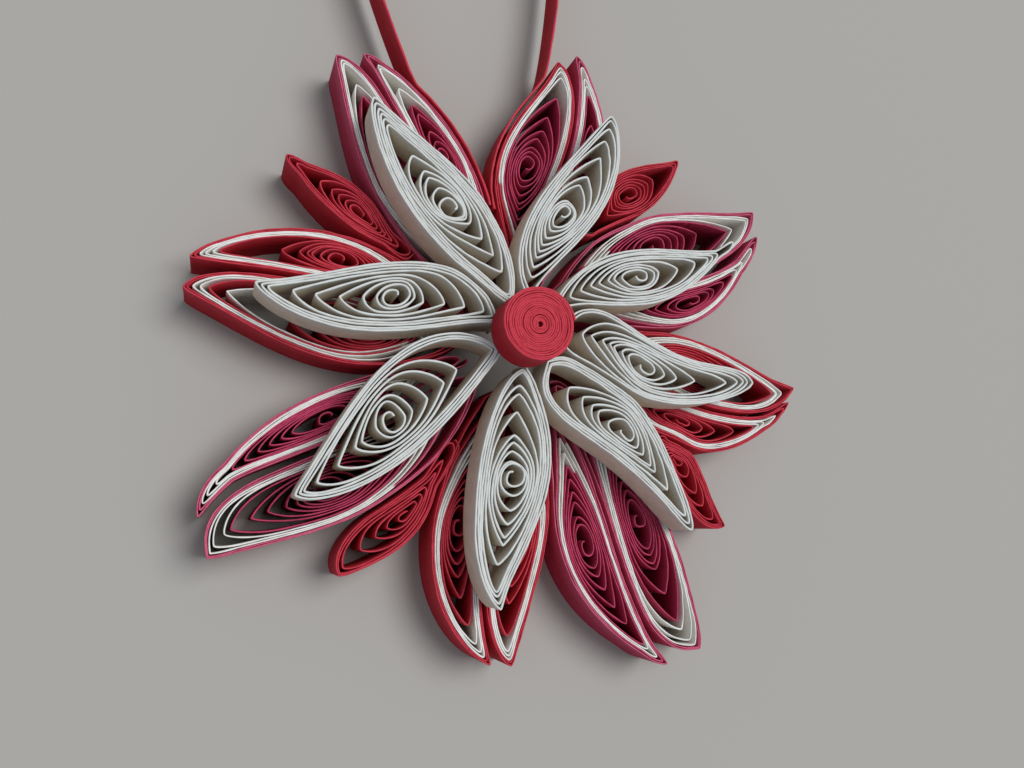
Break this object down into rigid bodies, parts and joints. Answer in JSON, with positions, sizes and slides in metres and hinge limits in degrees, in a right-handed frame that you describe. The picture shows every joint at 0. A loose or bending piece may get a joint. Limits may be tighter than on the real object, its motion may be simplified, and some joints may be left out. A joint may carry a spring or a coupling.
{
  "type": "quilled paper flower ornament",
  "caption": "Flat quilled paper flower with a ring of two-colour petals, a smaller cream flower on it, a rolled red disc in the middle and a paper hanging loop.",
  "frame": {"origin": "middle of the bounding box at the plane of the back, on which the ornament lies", "axes": "+Z out of the flower's face, +Y from the flower towards its hanging loop, +X to the right when the face is seen with the loop up"},
  "size_m": [0.0816, 0.13, 0.0176],
  "materials": {
    "red_paper": "matte",
    "pink_paper": "matte",
    "cream_paper": "matte"
  },
  "bodies": {
    "root": {"base_petal_01": "red_paper", "base_petal_02": "pink_paper", "base_petal_03": "pink_paper", "base_petal_04": "pink_paper", "base_petal_05": "red_paper", "base_petal_06": "red_paper", "base_petal_07": "pink_paper", "base_petal_08": "pink_paper", "base_petal_09": "red_paper", "base_petal_10": "red_paper", "base_petal_11": "pink_paper", "base_petal_12": "pink_paper", "base_petal_13": "red_paper", "base_petal_14": "red_paper", "base_petal_15": "pink_paper", "base_petal_16": "pink_paper", "leaf_1": "red_paper", "leaf_2": "red_paper", "leaf_3": "red_paper", "leaf_4": "red_paper", "top_petal_1": "cream_paper", "top_petal_2": "cream_paper", "top_petal_3": "cream_paper", "top_petal_4": "cream_paper", "top_petal_5": "cream_paper", "top_petal_6": "cream_paper", "top_petal_7": "cream_paper", "top_petal_8": "cream_paper", "centre_disc": "red_paper", "hanging_loop": "red_paper"}
  },
  "joints": []
}
